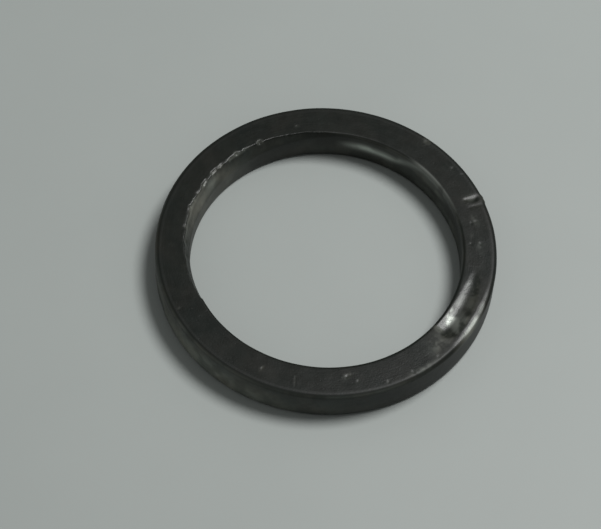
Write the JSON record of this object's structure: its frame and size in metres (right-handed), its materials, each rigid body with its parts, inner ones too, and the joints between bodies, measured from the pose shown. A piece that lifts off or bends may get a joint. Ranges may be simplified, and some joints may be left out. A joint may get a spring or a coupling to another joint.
{
  "type": "exhaust pipe gasket",
  "caption": "Dark one-piece ring gasket with flat sealing faces, rounded corners and a bore that an exhaust pipe end passes through; worn, with a dent, nicks and a chipped bore edge.",
  "frame": {"origin": "centre of the bore, on the lower sealing face", "axes": "+Z along the bore axis, towards the worn upper face; +X towards the picture's right side"},
  "size_m": [0.044, 0.044, 0.005],
  "materials": {
    "ring": "dark grey pressed graphite and steel, semi-gloss on the walls, bright where the corners are worn"
  },
  "bodies": {
    "root": {"gasket_ring": "ring"}
  },
  "joints": []
}
